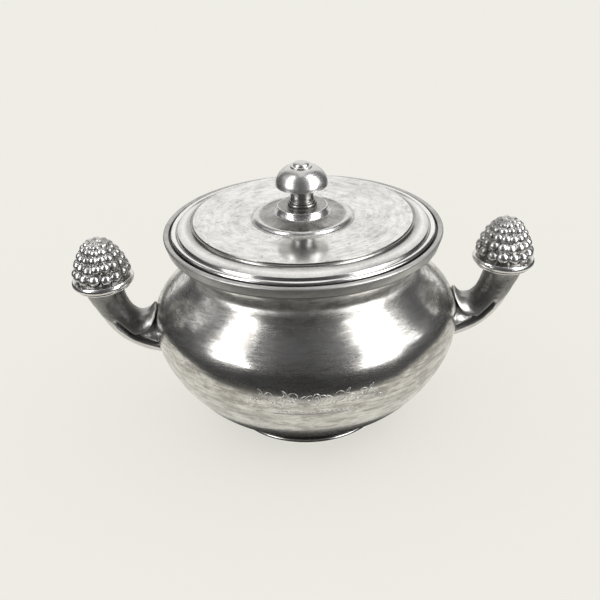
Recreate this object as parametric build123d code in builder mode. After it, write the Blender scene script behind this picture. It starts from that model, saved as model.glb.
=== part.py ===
from build123d import *

import os
from math import cos, radians, sin

# Covered sugar bowl: a spun bowl on a low foot ring, a lift-off lid with a turned knob,
# and two cast horn handles that end in beaded acorn knops.
# Millimetres. +Z is up, the handles lie along X, and the origin is the middle of the
# circle that the foot stands on.

# ---- driving dimensions ----
WALL = 1.2              # spun sheet
SMALL_GAP = 0.05        # between the threaded stud and what it passes through

# bowl
BOWL_RADIUS = 60.0      # widest, half way up the belly
BOWL_WIDEST_Z = 44.0
BOWL_FLOOR_Z = 3.6      # underside of the bowl's flat floor
BOWL_FLOOR_RADIUS = 18.0
NECK_RADIUS = 44.6
NECK_Z = 66.6
MOUTH_RADIUS = 52.2     # outside of the turned-out mouth
MOUTH_Z = 75.6          # where the mouth stops flaring
MOUTH_TOP_Z = 78.0
SEAT_Z = 79.4           # the ledge that the lid rests on
SEAT_INNER_RADIUS = 47.8
RIM_Z = 80.8
RIM_RADIUS = 54.5
RIM_FOOT_RADIUS = 53.2  # the band's lower edge
RIM_FOOT_Z = 76.2

# foot
FOOT_RADIUS = 28.3
FOOT_WIRE_WIDTH = 2.0
FOOT_WIRE_HEIGHT = 1.3
FOOT_NECK_RADIUS = 25.4

# lid
LID_RADIUS = 51.5
LID_LIP_INNER_RADIUS = 49.3
LID_LIP_Z = 81.7
PLATEAU_RADIUS = 42.8
PLATEAU_Z = 85.4
FLANGE_RADIUS = 45.6    # the bezel that drops inside the bowl's neck
FLANGE_BOTTOM_Z = 73.6
FLANGE_TOP_Z = 82.2

# knob
BOSS_RADIUS = 20.3
BOSS_TOP_Z = 89.9
DISC_RADIUS = 9.9
DISC_TOP_Z = 90.9
STEM_TOP_Z = 98.9
STEM_BASE_RADIUS = 5.9
DOME_RADIUS = 10.1
DOME_TOP_Z = 106.4
DOME_FLAT_RADIUS = 4.5
KNOB_RING_RADIUS = 4.3
KNOB_RING_TOP_Z = 107.0
BUTTON_RADIUS = 3.1
BUTTON_TOP_Z = 108.5
STUD_RADIUS = 1.6
STUD_BOTTOM_Z = 80.4
STUD_TOP_Z = 107.6
NUT_ACROSS_FLATS = 6.0
NUT_HEIGHT = 2.4
WASHER_RADIUS = 4.6
WASHER_HEIGHT = 0.8

# handles, described on the +X side
KNOP_X = 79.1           # middle of the collar under the acorn
KNOP_Z = 62.9
KNOP_LEAN = 5.5         # degrees outwards from upright
COLLAR_RADIUS = 12.4
COLLAR_HEIGHT = 2.8
UNDER_BEAD_RADIUS = 11.2
UNDER_BEAD_HEIGHT = 1.0
HORN_TOP_RADIUS = 8.6
ACORN_CORE_RADIUS = 10.3
ACORN_CORE_HEIGHT = 14.7
ACORN_SKIRT = 0.8       # straight part of the core above the collar
BEAD_ROW_LATITUDES = [8.5, 25.0, 41.0, 55.0, 67.0]  # middle of each row on the core
ACORN_TOP_LATITUDE = 73.0   # where the last row ends
BEAD_RISE = 1.7         # how far a bead would stand out of the core at its widest
DOWEL_RADIUS = 1.5
DOWEL_DEPTH = 7.0       # below the horn's top
DOWEL_RISE = 8.0        # above the collar
ROOT_INSET = 0.9        # how far the root lies inside the horn's surface

os.makedirs("parts", exist_ok=True)


def inset(curve, wall, steps):
    """Points one wall thickness to the left of a curve drawn in a sketch."""
    along = [i / steps for i in range(steps + 1)]
    return [curve @ u + (curve % u).rotate(Axis.Z, 90) * wall for u in along]


def save(part, name):
    part.label = name
    export_step(part, f"parts/{name}.step")


# ---- bowl ----
def bowl_curve():
    """The bowl's outside, from its floor round the belly and neck to the mouth."""
    belly = [
        (BOWL_FLOOR_RADIUS, BOWL_FLOOR_Z),
        (37.0, 8.2),
        (48.6, 18.0),
        (56.6, 30.0),
        (BOWL_RADIUS, BOWL_WIDEST_Z),
        (58.3, 51.2),
        (55.0, 55.8),
        (50.5, 60.3),
        (46.6, 63.9),
        (NECK_RADIUS, NECK_Z),
        (NECK_RADIUS + 0.8, NECK_Z + 2.8),
        (MOUTH_RADIUS, MOUTH_Z),
    ]
    return Spline(*belly, tangents=[(1, 0.05), (0.7, 1)])


# The bowl's outside as one full form, used to cut what is soldered against it.
with BuildPart() as bowl_form:
    with BuildSketch(Plane.XZ):
        with BuildLine():
            outside = bowl_curve()
            Polyline(
                (MOUTH_RADIUS, MOUTH_Z),
                (MOUTH_RADIUS, MOUTH_TOP_Z),
                (0, MOUTH_TOP_Z),
                (0, BOWL_FLOOR_Z),
                (BOWL_FLOOR_RADIUS, BOWL_FLOOR_Z),
            )
        make_face()
    revolve(axis=Axis.Z)

with BuildPart() as bowl_shell:
    with BuildSketch(Plane.XZ):
        with BuildLine():
            outside = bowl_curve()
            inner_points = inset(outside, WALL, 28)
            inside = Spline(*inner_points)
            Polyline(
                (MOUTH_RADIUS, MOUTH_Z),
                (MOUTH_RADIUS, MOUTH_TOP_Z),
                (inner_points[-1].X, MOUTH_TOP_Z),
                inner_points[-1],
            )
            Polyline(
                inner_points[0],
                (0, inner_points[0].Y),
                (0, BOWL_FLOOR_Z),
                (BOWL_FLOOR_RADIUS, BOWL_FLOOR_Z),
            )
        make_face()
    revolve(axis=Axis.Z)
save(bowl_shell.part, "bowl_shell")

with BuildPart() as rim_band:
    with BuildSketch(Plane.XZ):
        with BuildLine():
            Polyline(
                (MOUTH_RADIUS, RIM_FOOT_Z),
                (RIM_FOOT_RADIUS, RIM_FOOT_Z),
                (RIM_RADIUS, RIM_Z - 0.9),
            )
            ThreePointArc(
                (RIM_RADIUS, RIM_Z - 0.9),
                (RIM_RADIUS - 0.2, RIM_Z - 0.25),
                (RIM_RADIUS - 0.7, RIM_Z),
            )
            Polyline(
                (RIM_RADIUS - 0.7, RIM_Z),
                (MOUTH_RADIUS + 0.3, RIM_Z - 0.1),
                (MOUTH_RADIUS, RIM_Z - 0.5),
                (MOUTH_RADIUS, RIM_FOOT_Z),
            )
        make_face()
    revolve(axis=Axis.Z)
save(rim_band.part, "rim_band")

with BuildPart() as seat_ring:
    with BuildSketch(Plane.XY.offset(MOUTH_TOP_Z)):
        Circle(MOUTH_RADIUS)
        Circle(SEAT_INNER_RADIUS, mode=Mode.SUBTRACT)
    extrude(amount=SEAT_Z - MOUTH_TOP_Z)
save(seat_ring.part, "seat_ring")

# ---- foot ----
with BuildPart() as foot_ring:
    with BuildSketch(Plane.XZ):
        with BuildLine():
            cove = Spline(
                (FOOT_RADIUS - 0.6, FOOT_WIRE_HEIGHT),
                (FOOT_NECK_RADIUS + 0.6, 2.5),
                (FOOT_NECK_RADIUS, BOWL_FLOOR_Z + 1.4),
            )
            inner_points = inset(cove, WALL, 4)
            Spline(*inner_points)
            Line(cove @ 0, inner_points[0])
            Line(cove @ 1, inner_points[-1])
        make_face()
    revolve(axis=Axis.Z)
    add(bowl_form.part, mode=Mode.SUBTRACT)
    foot_trim = FOOT_RADIUS + WALL
    Cylinder(
        foot_trim,
        FOOT_WIRE_HEIGHT,
        align=(Align.CENTER, Align.CENTER, Align.MIN),
        mode=Mode.SUBTRACT,
    )
save(foot_ring.part, "foot_ring")

with BuildPart() as foot_wire:
    with BuildSketch(Plane.XZ):
        with BuildLine():
            Polyline(
                (FOOT_RADIUS - 0.4, 0),
                (FOOT_RADIUS - FOOT_WIRE_WIDTH, 0),
                (FOOT_RADIUS - FOOT_WIRE_WIDTH, FOOT_WIRE_HEIGHT),
                (FOOT_RADIUS - 0.4, FOOT_WIRE_HEIGHT),
            )
            ThreePointArc(
                (FOOT_RADIUS - 0.4, FOOT_WIRE_HEIGHT),
                (FOOT_RADIUS, FOOT_WIRE_HEIGHT / 2),
                (FOOT_RADIUS - 0.4, 0),
            )
        make_face()
    revolve(axis=Axis.Z)
save(foot_wire.part, "foot_wire")

# ---- lid ----
with BuildPart() as lid_plate:
    with BuildSketch(Plane.XZ):
        with BuildLine():
            Polyline(
                (LID_LIP_INNER_RADIUS, 80.2),
                (LID_LIP_INNER_RADIUS, 81.3),
                (48.7, 82.4),
                (45.1, 83.8),
            )
            ThreePointArc((45.1, 83.8), (44.2, 84.15), (43.4, 84.85))
            Polyline(
                (43.4, 84.85),
                (PLATEAU_RADIUS, 84.9),
                (PLATEAU_RADIUS, PLATEAU_Z - 0.2),
                (PLATEAU_RADIUS - 0.2, PLATEAU_Z),
                (0, PLATEAU_Z),
                (0, PLATEAU_Z - WALL),
                (41.8, PLATEAU_Z - WALL),
                (44.2, FLANGE_TOP_Z),
                (45.8, FLANGE_TOP_Z),
                (48.2, 81.2),
                (LID_LIP_INNER_RADIUS, 80.2),
            )
        make_face()
    revolve(axis=Axis.Z)
    with Locations((0, 0, PLATEAU_Z)):
        Hole(STUD_RADIUS + SMALL_GAP)
save(lid_plate.part, "lid_plate")

with BuildPart() as lid_lip:
    with BuildSketch(Plane.XZ):
        with BuildLine():
            Polyline(
                (LID_LIP_INNER_RADIUS, LID_LIP_Z - 0.5),
                (LID_LIP_INNER_RADIUS, SEAT_Z),
                (LID_RADIUS, SEAT_Z),
                (LID_RADIUS, LID_LIP_Z - 0.9),
            )
            ThreePointArc(
                (LID_RADIUS, LID_LIP_Z - 0.9),
                (LID_RADIUS - 1.0, LID_LIP_Z),
                (LID_LIP_INNER_RADIUS, LID_LIP_Z - 0.5),
            )
        make_face()
    revolve(axis=Axis.Z)
save(lid_lip.part, "lid_lip")

with BuildPart() as lid_flange:
    with BuildSketch(Plane.XY.offset(FLANGE_BOTTOM_Z)):
        Circle(FLANGE_RADIUS)
        Circle(FLANGE_RADIUS - WALL, mode=Mode.SUBTRACT)
    extrude(amount=FLANGE_TOP_Z - FLANGE_BOTTOM_Z)
    fillet(lid_flange.edges().group_by(Axis.Z)[0], 0.4)
save(lid_flange.part, "lid_flange")

# ---- knob: a stack on one threaded stud, drawn as half sections ----
STUD_HOLE = STUD_RADIUS + SMALL_GAP

with BuildPart() as lid_boss:
    with BuildSketch(Plane.XZ):
        with BuildLine():
            Polyline(
                (9.1, BOSS_TOP_Z),
                (STUD_HOLE, BOSS_TOP_Z),
                (STUD_HOLE, PLATEAU_Z),
                (BOSS_RADIUS, PLATEAU_Z),
            )
            ThreePointArc((BOSS_RADIUS, PLATEAU_Z), (19.6, 86.3), (18.2, 86.6))
            Spline(
                (18.2, 86.6),
                (16.2, 86.4),
                (13.4, 86.9),
                (10.9, 88.1),
                (9.1, BOSS_TOP_Z),
                tangents=[(-1, -0.1), (-0.4, 1)],
            )
        make_face()
    revolve(axis=Axis.Z)
save(lid_boss.part, "lid_boss")

with BuildPart() as boss_disc:
    with BuildSketch(Plane.XZ):
        with BuildLine():
            Polyline(
                (DISC_RADIUS - 0.3, DISC_TOP_Z - 0.3),
                (6.6, DISC_TOP_Z - 0.4),
                (6.0, DISC_TOP_Z),
                (STUD_HOLE, DISC_TOP_Z),
                (STUD_HOLE, BOSS_TOP_Z),
                (DISC_RADIUS - 0.3, BOSS_TOP_Z),
            )
            ThreePointArc(
                (DISC_RADIUS - 0.3, BOSS_TOP_Z),
                (DISC_RADIUS, BOSS_TOP_Z + 0.35),
                (DISC_RADIUS - 0.3, DISC_TOP_Z - 0.3),
            )
        make_face()
    revolve(axis=Axis.Z)
save(boss_disc.part, "boss_disc")

with BuildPart() as knob_stem:
    with BuildSketch(Plane.XZ):
        with BuildLine():
            Polyline(
                (5.8, STEM_TOP_Z),
                (STUD_HOLE, STEM_TOP_Z),
                (STUD_HOLE, DISC_TOP_Z),
                (STEM_BASE_RADIUS - 0.3, DISC_TOP_Z),
            )
            ThreePointArc((STEM_BASE_RADIUS - 0.3, DISC_TOP_Z), (STEM_BASE_RADIUS, 91.9), (5.6, 92.8))
            Line((5.6, 92.8), (5.1, 93.0))
            ThreePointArc((5.1, 93.0), (5.45, 93.6), (5.0, 94.2))
            Spline((5.0, 94.2), (4.75, 95.6), (5.0, 97.4), (5.8, STEM_TOP_Z))
        make_face()
    revolve(axis=Axis.Z)
save(knob_stem.part, "knob_stem")

with BuildPart() as knob_base:
    with BuildSketch(Plane.XY.offset(STEM_TOP_Z)):
        Circle(DOME_RADIUS - WALL)
        Circle(STUD_HOLE, mode=Mode.SUBTRACT)
    extrude(amount=0.9)
save(knob_base.part, "knob_base")

with BuildPart() as knob_dome:
    with BuildSketch(Plane.XZ):
        with BuildLine():
            Line((DOME_RADIUS - WALL, STEM_TOP_Z), (DOME_RADIUS - 0.7, STEM_TOP_Z))
            ThreePointArc(
                (DOME_RADIUS - 0.7, STEM_TOP_Z),
                (DOME_RADIUS - 0.15, STEM_TOP_Z + 0.4),
                (DOME_RADIUS, STEM_TOP_Z + 1.2),
            )
            crown = Spline(
                (DOME_RADIUS, STEM_TOP_Z + 1.2),
                (8.7, 103.6),
                (DOME_FLAT_RADIUS, DOME_TOP_Z),
                tangents=[(0, 1), (-1, 0.3)],
            )
            Polyline(
                crown @ 1,
                (STUD_HOLE, DOME_TOP_Z),
                (STUD_HOLE, DOME_TOP_Z - WALL),
                (DOME_FLAT_RADIUS, DOME_TOP_Z - WALL),
            )
            Spline(
                (DOME_FLAT_RADIUS, DOME_TOP_Z - WALL),
                (7.6, 103.0),
                (DOME_RADIUS - WALL, STEM_TOP_Z + 1.2),
                tangents=[(1, -0.3), (0, -1)],
            )
            Line((DOME_RADIUS - WALL, STEM_TOP_Z + 1.2), (DOME_RADIUS - WALL, STEM_TOP_Z))
        make_face()
    revolve(axis=Axis.Z)
save(knob_dome.part, "knob_dome")

with BuildPart() as knob_ring:
    with BuildSketch(Plane.XY.offset(DOME_TOP_Z)):
        Circle(KNOB_RING_RADIUS)
        Circle(STUD_HOLE, mode=Mode.SUBTRACT)
    extrude(amount=KNOB_RING_TOP_Z - DOME_TOP_Z)
    fillet(knob_ring.edges().group_by(Axis.Z)[-1].sort_by(SortBy.RADIUS)[-1], 0.35)
save(knob_ring.part, "knob_ring")

with BuildPart() as knob_button:
    with BuildSketch(Plane.XZ):
        with BuildLine():
            Polyline(
                (0, BUTTON_TOP_Z),
                (0, STUD_TOP_Z + SMALL_GAP),
                (STUD_HOLE, STUD_TOP_Z + SMALL_GAP),
                (STUD_HOLE, KNOB_RING_TOP_Z),
                (BUTTON_RADIUS, KNOB_RING_TOP_Z),
            )
            Spline(
                (BUTTON_RADIUS, KNOB_RING_TOP_Z),
                (0, BUTTON_TOP_Z),
                tangents=[(0, 1), (-1, 0)],
            )
        make_face()
    revolve(axis=Axis.Z)
save(knob_button.part, "knob_button")

with BuildPart() as knob_stud:
    with BuildSketch(Plane.XY.offset(STUD_BOTTOM_Z)):
        Circle(STUD_RADIUS)
    extrude(amount=STUD_TOP_Z - STUD_BOTTOM_Z)
    chamfer(knob_stud.edges().group_by(Axis.Z)[0], 0.3)
save(knob_stud.part, "knob_stud")

WASHER_TOP_Z = PLATEAU_Z - WALL
with BuildPart() as knob_washer:
    with BuildSketch(Plane.XY.offset(WASHER_TOP_Z)):
        Circle(WASHER_RADIUS)
        Circle(STUD_HOLE, mode=Mode.SUBTRACT)
    extrude(amount=-WASHER_HEIGHT)
save(knob_washer.part, "knob_washer")

NUT_TOP_Z = WASHER_TOP_Z - WASHER_HEIGHT
with BuildPart() as knob_nut:
    with BuildSketch(Plane.XY.offset(NUT_TOP_Z)):
        RegularPolygon(NUT_ACROSS_FLATS / 2, 6, major_radius=False)
        Circle(STUD_HOLE, mode=Mode.SUBTRACT)
    extrude(amount=-NUT_HEIGHT)
save(knob_nut.part, "knob_nut")

# ---- handles ----
# The acorn, its collar and the dowel share one axis that leans outwards.
lean_x = sin(radians(KNOP_LEAN))
lean_z = cos(radians(KNOP_LEAN))
knop_section = Plane((KNOP_X, 0, KNOP_Z), x_dir=(lean_z, 0, -lean_x), z_dir=(0, -1, 0))
knop_axis = Axis((KNOP_X, 0, KNOP_Z), (lean_x, 0, lean_z))


def knop_plane(height):
    """A plane across the knop's axis, this far above the middle of the collar."""
    return Plane(
        (KNOP_X + height * lean_x, 0, KNOP_Z + height * lean_z),
        x_dir=(lean_z, 0, -lean_x),
        z_dir=(lean_x, 0, lean_z),
    )


COLLAR_TOP = COLLAR_HEIGHT / 2
COLLAR_BOTTOM = -COLLAR_HEIGHT / 2
HORN_TOP = COLLAR_BOTTOM - UNDER_BEAD_HEIGHT
DOWEL_HOLE = DOWEL_RADIUS + SMALL_GAP

with BuildPart() as horn_collar:
    with BuildSketch(knop_section):
        with BuildLine():
            Polyline(
                (COLLAR_RADIUS - 0.6, COLLAR_TOP),
                (DOWEL_HOLE, COLLAR_TOP),
                (DOWEL_HOLE, HORN_TOP),
                (UNDER_BEAD_RADIUS - 1.2, HORN_TOP),
            )
            ThreePointArc(
                (UNDER_BEAD_RADIUS - 1.2, HORN_TOP),
                (UNDER_BEAD_RADIUS - 0.2, HORN_TOP + 0.4),
                (UNDER_BEAD_RADIUS - 0.2, COLLAR_BOTTOM),
            )
            ThreePointArc(
                (UNDER_BEAD_RADIUS - 0.2, COLLAR_BOTTOM),
                (COLLAR_RADIUS, 0.2),
                (COLLAR_RADIUS - 0.6, COLLAR_TOP),
            )
        make_face()
    revolve(axis=knop_axis)


def on_acorn(latitude, rise):
    """A point on the acorn's outline, this far proud of its core."""
    across = (ACORN_CORE_RADIUS + rise) * cos(radians(latitude))
    up = COLLAR_TOP + ACORN_SKIRT + (ACORN_CORE_HEIGHT + rise) * sin(radians(latitude))
    return (across, up)


# The acorn's rows of beads are plain rounded rings, one to a row.
with BuildPart() as acorn:
    with BuildSketch(knop_section):
        with BuildLine():
            Polyline(
                on_acorn(ACORN_TOP_LATITUDE, 0),
                (0, on_acorn(90, 0)[1]),
                (0, COLLAR_TOP + DOWEL_RISE + SMALL_GAP),
                (DOWEL_HOLE, COLLAR_TOP + DOWEL_RISE + SMALL_GAP),
                (DOWEL_HOLE, COLLAR_TOP),
                (ACORN_CORE_RADIUS, COLLAR_TOP),
                on_acorn(0, 0),
            )
            low = 0
            for crest in BEAD_ROW_LATITUDES:
                high = 2 * crest - low
                rise = BEAD_RISE * cos(radians(crest))
                ThreePointArc(on_acorn(low, 0), on_acorn(crest, rise), on_acorn(high, 0))
                low = high
        make_face()
    revolve(axis=knop_axis)

# The horn sweeps down from the collar and in to the bowl's belly.
horn_points = [(76.3, 52.6), (72.4, 46.2), (66.4, 41.5), (58.0, 38.9), (51.0, 38.6)]
horn_start = knop_plane(HORN_TOP).origin
with BuildLine() as horn_line:
    horn_path = Spline(
        horn_start,
        *[(x, 0, z) for x, z in horn_points],
        tangents=[(-lean_x, 0, -lean_z), (-1, 0, 0)],
    )
# how far along the path, half depth in the handle's plane, half width across it
horn_sections = [
    (0.00, HORN_TOP_RADIUS, HORN_TOP_RADIUS),
    (0.07, 7.4, 7.7),
    (0.20, 6.5, 7.0),
    (0.40, 6.3, 6.8),
    (0.58, 6.8, 7.2),
    (0.78, 7.7, 7.8),
    (1.00, 8.2, 8.3),
]


def horn_form(inset_by):
    """The horn's full form, this much inside its surface."""
    with BuildPart() as form:
        for along, depth, width in horn_sections:
            section = Plane(horn_path @ along, x_dir=(0, 1, 0), z_dir=horn_path % along)
            with BuildSketch(section):
                Ellipse(width - inset_by, depth - inset_by)
        loft()
    return form.part


def side_region(curve_points, corners):
    """What lies between a curve and some corners, seen from the side, right across the handle."""
    with BuildPart() as region:
        with BuildSketch(Plane.XZ):
            with BuildLine():
                Spline(*curve_points)
                Polyline(curve_points[-1], *corners, curve_points[0])
            make_face()
        extrude(amount=20, both=True)
    return region.part


# Seen from the front, the horn parts into a lower leaf and an upper lobe, with the root
# between them. Both lines are drawn in the handle's plane.
leaf_line = [(84.0, 52.0), (75.3, 46.6), (69.2, 41.0), (62.0, 37.7), (50.0, 33.4)]
lobe_line = [(50.0, 48.0), (59.6, 47.0), (61.4, 44.6), (64.4, 42.6), (69.2, 41.0)]
below_leaf_line = side_region(leaf_line, [(50.0, 20.0), (90.0, 20.0), (90.0, 52.0)])
below_lobe_line = side_region(lobe_line, [(69.2, 30.0), (50.0, 30.0)])
horn_full = horn_form(0)

with BuildPart() as horn_leaf:
    add(horn_full)
    add(below_leaf_line, mode=Mode.INTERSECT)
    add(bowl_form.part, mode=Mode.SUBTRACT)

with BuildPart() as horn_root:
    add(horn_form(ROOT_INSET))
    add(below_lobe_line, mode=Mode.INTERSECT)
    add(below_leaf_line, mode=Mode.SUBTRACT)
    add(bowl_form.part, mode=Mode.SUBTRACT)

with BuildPart() as horn:
    add(horn_full)
    # the lobe's tip curls up against the bowl
    with Locations(Plane((60.9, 0, 45.5), x_dir=(0, 1, 0), z_dir=(-0.25, 0, 1))):
        Cone(3.4, 0.8, 5.8, align=(Align.CENTER, Align.CENTER, Align.MIN))
    add([below_leaf_line, below_lobe_line, bowl_form.part], mode=Mode.SUBTRACT)
    with BuildSketch(knop_plane(HORN_TOP)):
        Circle(DOWEL_HOLE)
    extrude(amount=-DOWEL_DEPTH - SMALL_GAP, mode=Mode.SUBTRACT)

with BuildPart() as acorn_dowel:
    with BuildSketch(knop_plane(HORN_TOP - DOWEL_DEPTH)):
        Circle(DOWEL_RADIUS)
    extrude(amount=DOWEL_DEPTH - HORN_TOP + COLLAR_TOP + DOWEL_RISE)

handle_parts = {
    "horn": horn,
    "horn_leaf": horn_leaf,
    "horn_root": horn_root,
    "horn_collar": horn_collar,
    "acorn": acorn,
    "acorn_dowel": acorn_dowel,
}
for part_name, builder in handle_parts.items():
    save(builder.part, f"right_{part_name}")
    with BuildPart() as left_side:
        mirror(builder.part, about=Plane.YZ)
    save(left_side.part, f"left_{part_name}")
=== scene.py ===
import math

import bpy
import numpy as np
from mathutils import Matrix, Vector


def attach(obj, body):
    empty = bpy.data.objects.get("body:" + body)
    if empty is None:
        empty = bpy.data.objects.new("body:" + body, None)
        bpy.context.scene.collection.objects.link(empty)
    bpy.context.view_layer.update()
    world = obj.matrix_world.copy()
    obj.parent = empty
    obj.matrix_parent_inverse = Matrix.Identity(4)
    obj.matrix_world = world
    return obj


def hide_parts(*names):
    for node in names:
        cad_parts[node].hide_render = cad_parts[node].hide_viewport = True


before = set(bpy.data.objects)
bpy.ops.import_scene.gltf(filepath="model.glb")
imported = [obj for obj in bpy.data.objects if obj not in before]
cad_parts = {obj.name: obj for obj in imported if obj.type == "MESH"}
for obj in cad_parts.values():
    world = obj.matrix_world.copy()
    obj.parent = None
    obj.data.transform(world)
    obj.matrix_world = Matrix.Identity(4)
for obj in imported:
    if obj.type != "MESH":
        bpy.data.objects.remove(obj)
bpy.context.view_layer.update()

# Covered silver sugar bowl. Outlines are half sections, (distance from the axis, height),
# in millimetres as in the CAD source, and meshes are made in metres.
MM = 0.001
TINY = 1e-6
WALL = 1.2  # thickness of the bowl's and the foot's metal
STUD = 1.65  # radius of the hole along the lid's and the knob's axis

CORNER = 22  # degrees that an outline has to turn by to be rounded there
CORNER_SHARE = 0.45  # the most of the way to the next corner that a rounding takes up
CORNER_POINTS = 7
SMOOTH_ANGLE = math.radians(50)


# ---------------------------------------------------------------- outlines
def unit(v):
    v = np.array(v, float)
    return v / np.linalg.norm(v)


def through(points, start=None, end=None):
    """A smooth curve through the points, as a function that runs from 0 to 1 along it."""
    p = np.array(points, float)
    n = len(p)
    gaps = np.linalg.norm(np.diff(p, axis=0), axis=1)
    along = np.concatenate([[0], np.cumsum(gaps)])
    steep = np.diff(p, axis=0) / gaps[:, None]
    a = np.zeros((n, n))
    b = np.zeros(p.shape)
    for i in range(1, n - 1):
        a[i, i - 1 : i + 2] = gaps[i], 2 * (gaps[i - 1] + gaps[i]), gaps[i - 1]
        b[i] = 3 * (gaps[i] * steep[i - 1] + gaps[i - 1] * steep[i])
    for i, j, way, chord in ((0, 1, start, steep[0]), (n - 1, n - 2, end, steep[-1])):
        a[i, i] = 1 if way is not None else 2
        a[i, j] = 0 if way is not None else 1
        b[i] = unit(way) if way is not None else 3 * chord
    slope = np.linalg.solve(a, b)

    def at(u):
        u = np.atleast_1d(u) * along[-1]
        i = np.clip(np.searchsorted(along, u, side="right") - 1, 0, n - 2)
        h = gaps[i][:, None]
        s = (u - along[i])[:, None] / h
        near = (2 * s**3 - 3 * s**2 + 1) * p[i] + (s**3 - 2 * s**2 + s) * h * slope[i]
        far = (3 * s**2 - 2 * s**3) * p[i + 1] + (s**3 - s**2) * h * slope[i + 1]
        return near + far

    return at


def spline(points, start=None, end=None, steps=24):
    return [tuple(q) for q in through(points, start, end)(np.linspace(0, 1, steps + 1))]


def arc(a, b, c, steps=8):
    """Points on the circle from a through b to c."""
    (ax, ay), (bx, by), (cx, cy) = a, b, c
    d = 2 * (ax * (by - cy) + bx * (cy - ay) + cx * (ay - by))
    qa, qb, qc = ax * ax + ay * ay, bx * bx + by * by, cx * cx + cy * cy
    ox = (qa * (by - cy) + qb * (cy - ay) + qc * (ay - by)) / d
    oy = (qa * (cx - bx) + qb * (ax - cx) + qc * (bx - ax)) / d
    r = math.hypot(ax - ox, ay - oy)
    first, mid, last = (math.atan2(y - oy, x - ox) for x, y in (a, b, c))
    turn = (last - first) % (2 * math.pi)
    if (mid - first) % (2 * math.pi) > turn:
        turn -= 2 * math.pi
    at = [first + turn * i / steps for i in range(steps + 1)]
    return [(ox + r * math.cos(t), oy + r * math.sin(t)) for t in at]


def inset(line, wall):
    """The line moved sideways by the thickness of the metal."""
    p = np.array(line)
    way = np.gradient(p, axis=0)
    way /= np.linalg.norm(way, axis=1)[:, None]
    return [tuple(q) for q in p + np.stack([-way[:, 1], way[:, 0]], 1) * wall]


def soften(outline, radius):
    """A closed outline with its corners rounded over this length each side."""
    p = np.array(outline, float)
    p = p[np.linalg.norm(p - np.roll(p, 1, 0), axis=1) > TINY]
    n = len(p)
    ahead = np.roll(p, -1, 0) - p
    back = np.roll(ahead, 1, 0)
    cosine = (ahead * back).sum(1) / np.linalg.norm(ahead, axis=1) / np.linalg.norm(back, axis=1)
    sharp = (np.degrees(np.arccos(np.clip(cosine, -1, 1))) > CORNER) & (p[:, 0] > TINY)
    s = np.concatenate([[0], np.cumsum(np.linalg.norm(ahead, axis=1))])
    total = s[-1]
    closed = np.vstack([p, p[:1]])
    corners = [i for i in range(n) if sharp[i]]
    if not corners:
        return p
    spans = []
    for k, i in enumerate(corners):
        before = (s[i] - s[corners[k - 1]]) % total or total
        after = (s[corners[(k + 1) % len(corners)]] - s[i]) % total or total
        spans.append(min(radius, CORNER_SHARE * before, CORNER_SHARE * after))

    def at(value):
        return np.array([np.interp(value % total, s, closed[:, k]) for k in (0, 1)])

    made = []
    for i in range(n):
        gaps = [abs(s[i] - s[j]) for j in corners]
        if min(min(gap, total - gap) - w for gap, w in zip(gaps, spans)) >= 0:
            made.append((s[i], p[i]))
    for j, w in zip(corners, spans):
        a, b = at(s[j] - w), at(s[j] + w)
        for t in np.linspace(0, 1, CORNER_POINTS):
            q = (1 - t) ** 2 * a + 2 * t * (1 - t) * p[j] + t * t * b
            made.append(((s[j] - w + 2 * w * t) % total, q))
    made.sort(key=lambda m: m[0])
    return np.array([m[1] for m in made])


# ---------------------------------------------------------------- meshes
def add_piece(name, mesh, body, material, stands_for):
    for polygon in mesh.polygons:
        polygon.use_smooth = True
    mesh.set_sharp_from_angle(angle=SMOOTH_ANGLE)
    mesh.materials.append(material)
    piece = bpy.data.objects.new(name, mesh)
    bpy.context.scene.collection.objects.link(piece)
    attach(piece, body)
    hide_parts(*stands_for)
    return piece


def set_recess(mesh, depth):
    """How dark each vertex is painted, from 0 to 1: painted shade in recesses, steps and gaps, and
    on the horns and acorns also painted highlights, wear and a dark satin base.
    """
    mesh.attributes.new("recess", "FLOAT", "POINT").data.foreach_set("value", depth)


def lathe(
    name,
    outline,
    body,
    material,
    stands_for,
    soft,
    segments=320,
    place=None,
    flip=False,
    dark=None,
):
    """Turns a closed outline about the upright axis, or about the axis that place sets."""
    p = soften(outline, soft)
    nxt = np.roll(p, -1, 0)
    if (p[:, 0] * nxt[:, 1] - nxt[:, 0] * p[:, 1]).sum() < 0:
        p = p[::-1]
    turn = np.linspace(0, 2 * math.pi, segments, endpoint=False)
    verts = []
    rings = []
    for r, z in p:
        first = len(verts)
        if r < TINY:
            verts.append((0, 0, z * MM))
            rings.append([first] * segments)
        else:
            verts += [(r * math.cos(t) * MM, r * math.sin(t) * MM, z * MM) for t in turn]
            rings.append(list(range(first, first + segments)))
    faces = []
    for a, b in zip(rings, rings[1:] + rings[:1]):
        if a[0] == a[1] and b[0] == b[1]:
            continue
        for k in range(segments):
            m = (k + 1) % segments
            face = [a[k], a[m], b[m], b[k]]
            face = [v for i, v in enumerate(face) if v not in face[:i]]
            faces.append(face[::-1] if flip else face)
    mesh = bpy.data.meshes.new(name)
    if place is not None:
        verts = [tuple(place @ Vector(v)) for v in verts]
    mesh.from_pydata(verts, [], faces)
    mesh.update()
    if dark is not None:
        depth = []
        for (r, z), around in zip(p, rings):
            depth += [dark(r, z)] * (1 if around[0] == around[1] else segments)
        set_recess(mesh, depth)
    return add_piece(name, mesh, body, material, stands_for)


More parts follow.
